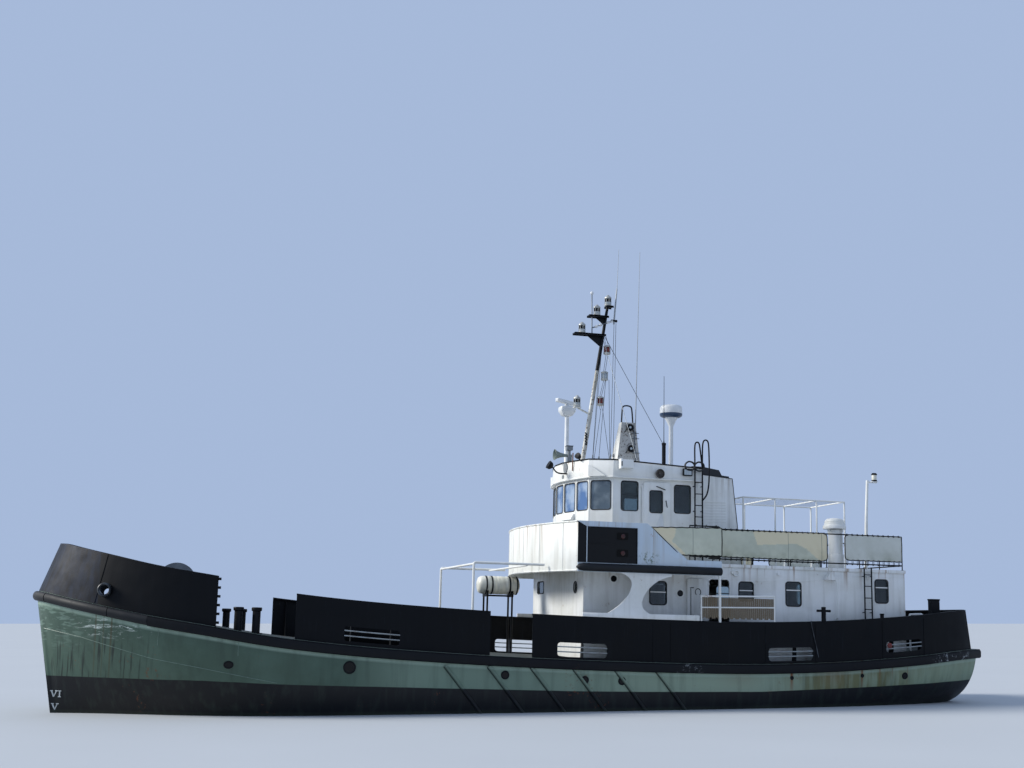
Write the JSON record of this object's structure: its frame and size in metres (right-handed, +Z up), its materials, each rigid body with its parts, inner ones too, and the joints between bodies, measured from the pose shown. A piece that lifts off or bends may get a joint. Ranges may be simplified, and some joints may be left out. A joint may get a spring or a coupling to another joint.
{
  "type": "fleet tender",
  "caption": "Steel harbour tender with a raised sheer, belted sides, deckhouse, bridge wings behind a weather screen, and a raked mast.",
  "frame": {"origin": "on the centreline amidships, where the water surface crosses it, with the keel and decks level; the afloat trim is 1.364 degrees down by the stern about this point", "axes": "+X aft along the level keel, +Y to starboard, +Z up"},
  "size_m": [24.555, 6.45, 14.3303],
  "materials": {
    "hull_paint": "satin green-grey marine paint, weathered",
    "black_paint": "semi-gloss blue-black marine paint",
    "white_paint": "semi-gloss white marine paint",
    "grey_paint": "satin dark grey deck paint",
    "slatted_panel": "weathered slats",
    "rubber": "matte black extruded rubber",
    "bronze": "machined, dulled",
    "canvas": "proofed woven canvas, laced",
    "moulded_plastic": "satin white glass-fibre moulding"
  },
  "bodies": {
    "ship": {"hull": "hull_paint", "belting": "black_paint", "bow_fender": "rubber", "bulwark_forward": "black_paint", "bulwark_mid_port": "black_paint", "bulwark_mid_starboard": "black_paint", "bulwark_aft": "black_paint", "deckhouse": "white_paint", "bridge_deck": "white_paint", "bridge_screen": "white_paint", "wing_fender_port": "rubber", "wing_fender_starboard": "rubber", "side_screen_port": "white_paint", "side_screen_starboard": "white_paint", "side_rail_port": "slatted_panel", "side_rail_starboard": "slatted_panel", "wheelhouse": "white_paint", "wheelhouse_roof": "white_paint", "helm_console": "grey_paint", "funnel_casing": "white_paint", "funnel_top": "grey_paint", "wheelhouse_ladder": "black_paint", "deckhouse_ladder": "black_paint", "mast": "white_paint", "radar_post": "moulded_plastic", "radome": "moulded_plastic", "antenna_pylon": "white_paint", "whip_antenna": "black_paint", "horn": "moulded_plastic", "ventilator": "white_paint", "roof_rails": "black_paint", "dodger_wing_port": "canvas", "dodger_wing_starboard": "canvas", "dodger_roof_port": "canvas", "dodger_roof_starboard": "canvas", "banner_port": "canvas", "banner_starboard": "canvas", "awning_frame": "white_paint", "stern_light_mast": "white_paint", "gallows_frame": "white_paint", "liferaft": "moulded_plastic", "liferaft_cradle": "black_paint", "hatch_coaming": "grey_paint", "windlass_frame": "grey_paint", "bollard_fore_port": "black_paint", "bollard_fore_starboard": "black_paint", "bollard_aft_port": "black_paint", "bollard_aft_starboard": "black_paint"},
    "door_port": {"deckhouse_door_port": "white_paint"},
    "door_starboard": {"deckhouse_door_starboard": "white_paint"},
    "door_aft": {"deckhouse_door_aft": "white_paint"},
    "bridge_door_port": {"wheelhouse_door_port": "white_paint"},
    "bridge_door_starboard": {"wheelhouse_door_starboard": "white_paint"},
    "hatch_fore": {"hatch_cover_fore": "grey_paint"},
    "hatch_aft": {"hatch_cover_aft": "grey_paint"},
    "windlass": {"windlass_drum": "grey_paint"},
    "scanner": {"radar_scanner": "moulded_plastic"},
    "screw": {"propeller": "bronze"},
    "rudder_blade": {"rudder": "black_paint"}
  },
  "joints": [
    {"name": "door_port_swing", "type": "hinge", "parent": "ship", "child": "door_port", "pos_m": [4.36, -2.3345, 2.4], "axis": [0, 0, 1], "range_deg": [0, 180]},
    {"name": "door_starboard_swing", "type": "hinge", "parent": "ship", "child": "door_starboard", "pos_m": [4.36, 2.3345, 2.4], "axis": [0, 0, 1], "range_deg": [0, 175]},
    {"name": "door_aft_swing", "type": "hinge", "parent": "ship", "child": "door_aft", "pos_m": [10.0795, 0.4, 2.5], "axis": [0, 0, 1], "range_deg": [0, 110]},
    {"name": "bridge_door_port_swing", "type": "hinge", "parent": "ship", "child": "bridge_door_port", "pos_m": [2.65, -2.008, 4.8], "axis": [0, 0, -1], "range_deg": [0, 95]},
    {"name": "bridge_door_starboard_swing", "type": "hinge", "parent": "ship", "child": "bridge_door_starboard", "pos_m": [2.65, 2.008, 4.8], "axis": [0, 0, 1], "range_deg": [0, 95]},
    {"name": "hatch_fore_lift", "type": "hinge", "parent": "ship", "child": "hatch_fore", "pos_m": [-5.65, 0, 2.085], "axis": [0, -1, 0], "range_deg": [0, 100]},
    {"name": "hatch_aft_lift", "type": "hinge", "parent": "ship", "child": "hatch_aft", "pos_m": [-2.85, 0, 2.085], "axis": [0, 1, 0], "range_deg": [0, 100]},
    {"name": "windlass_turn", "type": "hinge", "parent": "ship", "child": "windlass", "pos_m": [-8.93, 0, 2.9], "axis": [0, 1, 0], "continuous": true},
    {"name": "scanner_turn", "type": "hinge", "parent": "ship", "child": "scanner", "pos_m": [1.27, 0.25, 8.1], "axis": [0, 0, 1], "continuous": true},
    {"name": "propeller_turn", "type": "hinge", "parent": "ship", "child": "screw", "pos_m": [9.56, 0, -1.13], "axis": [1, 0, 0], "continuous": true},
    {"name": "rudder_turn", "type": "hinge", "parent": "ship", "child": "rudder_blade", "pos_m": [10.2, 0, -1], "axis": [0, 0, 1], "range_deg": [-35, 35]}
  ]
}
